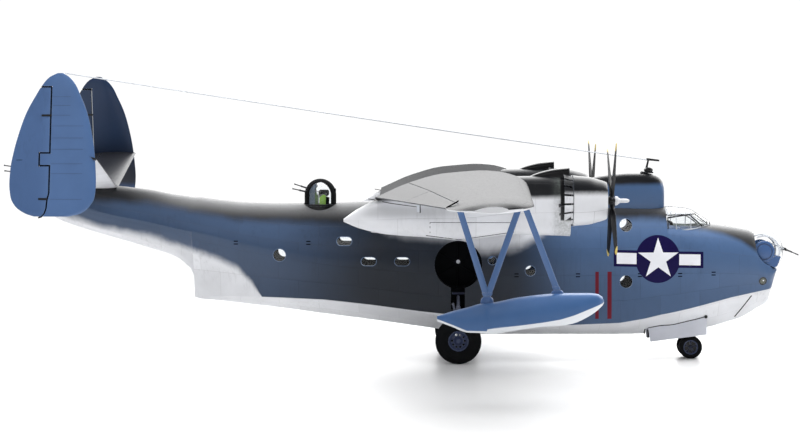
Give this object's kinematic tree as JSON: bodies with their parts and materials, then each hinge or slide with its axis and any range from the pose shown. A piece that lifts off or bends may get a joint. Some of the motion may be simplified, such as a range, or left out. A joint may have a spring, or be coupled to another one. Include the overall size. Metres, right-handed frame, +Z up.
{
  "type": "plastic display model of a gull-winged patrol flying boat",
  "caption": "Scale model of a gull-winged patrol flying boat on its wheels, with propellers, wing floats, gun turrets, a roof radome and outward-standing tail fins.",
  "frame": {"origin": "on the floor, below the middle of the overall box", "axes": "+X forward to the bow, +Y to port, +Z up"},
  "size_m": [0.3459, 0.4996, 0.1229],
  "materials": {
    "airframe_paint": "satin sea blue over white, with a darker blue-black top side",
    "white_paint": "satin white",
    "deck_paint": "satin blue-black",
    "black_paint": "satin black",
    "engine_metal_paint": "dark metallic paint",
    "interior_paint": "matt yellow-green",
    "gear_paint": "satin blue-grey",
    "tyre_paint": "matt black tyre, blue-grey hub",
    "clear_plastic": "polished clear plastic"
  },
  "bodies": {
    "airframe": {"hull_port": "airframe_paint", "hull_starboard": "airframe_paint", "inner_wing_port": "airframe_paint", "inner_wing_starboard": "airframe_paint", "outer_wing_port": "airframe_paint", "outer_wing_starboard": "airframe_paint", "flap_port": "airframe_paint", "flap_starboard": "airframe_paint", "aileron_port": "airframe_paint", "aileron_starboard": "airframe_paint", "nacelle_port": "airframe_paint", "nacelle_starboard": "airframe_paint", "cowl_port": "airframe_paint", "cowl_starboard": "airframe_paint", "cowl_flaps_port": "white_paint", "cowl_flaps_starboard": "white_paint", "engine_port": "engine_metal_paint", "engine_starboard": "engine_metal_paint", "float_port": "airframe_paint", "float_starboard": "airframe_paint", "float_front_struts_port": "airframe_paint", "float_front_struts_starboard": "airframe_paint", "float_rear_struts_port": "airframe_paint", "float_rear_struts_starboard": "airframe_paint", "tailplane_port": "airframe_paint", "tailplane_starboard": "airframe_paint", "elevator_port": "airframe_paint", "elevator_starboard": "airframe_paint", "fin_port": "airframe_paint", "fin_starboard": "airframe_paint", "rudder_port": "airframe_paint", "rudder_starboard": "airframe_paint", "radome": "airframe_paint", "aerial_mast": "deck_paint", "cockpit_canopy": "deck_paint", "cockpit_floor_and_seats": "interior_paint", "bow_turret_mount": "airframe_paint", "bow_turret_glass": "clear_plastic", "tail_turret_mount": "airframe_paint", "tail_turret_glass": "clear_plastic", "main_leg_port": "gear_paint", "main_leg_starboard": "gear_paint", "nose_leg": "gear_paint", "nose_door_port": "airframe_paint", "nose_door_starboard": "airframe_paint"},
    "propeller_port": {"propeller_port": "black_paint"},
    "propeller_starboard": {"propeller_starboard": "black_paint"},
    "main_wheel_port": {"main_wheel_port": "tyre_paint"},
    "main_wheel_starboard": {"main_wheel_starboard": "tyre_paint"},
    "nose_wheels": {"nose_wheels": "tyre_paint"},
    "dorsal_turret": {"dorsal_turret_base": "black_paint", "dorsal_turret_dome": "clear_plastic"}
  },
  "joints": [
    {"name": "propeller_port_spin", "type": "hinge", "parent": "airframe", "child": "propeller_port", "pos_m": [0.0877, 0.057, 0.0706], "axis": [1, 0, 0], "continuous": true},
    {"name": "propeller_starboard_spin", "type": "hinge", "parent": "airframe", "child": "propeller_starboard", "pos_m": [0.0877, -0.057, 0.0706], "axis": [1, 0, 0], "continuous": true},
    {"name": "main_wheel_port_roll", "type": "hinge", "parent": "airframe", "child": "main_wheel_port", "pos_m": [0.02535, 0.0262, 0.0098], "axis": [0, 1, 0], "continuous": true},
    {"name": "main_wheel_starboard_roll", "type": "hinge", "parent": "airframe", "child": "main_wheel_starboard", "pos_m": [0.02535, -0.0262, 0.0098], "axis": [0, 1, 0], "continuous": true},
    {"name": "nose_wheels_roll", "type": "hinge", "parent": "airframe", "child": "nose_wheels", "pos_m": [0.1263, 0, 0.005], "axis": [0, 1, 0], "continuous": true},
    {"name": "dorsal_turret_traverse", "type": "hinge", "parent": "airframe", "child": "dorsal_turret", "pos_m": [-0.0344, 0, 0.0608], "axis": [0, 0, 1], "continuous": true}
  ]
}
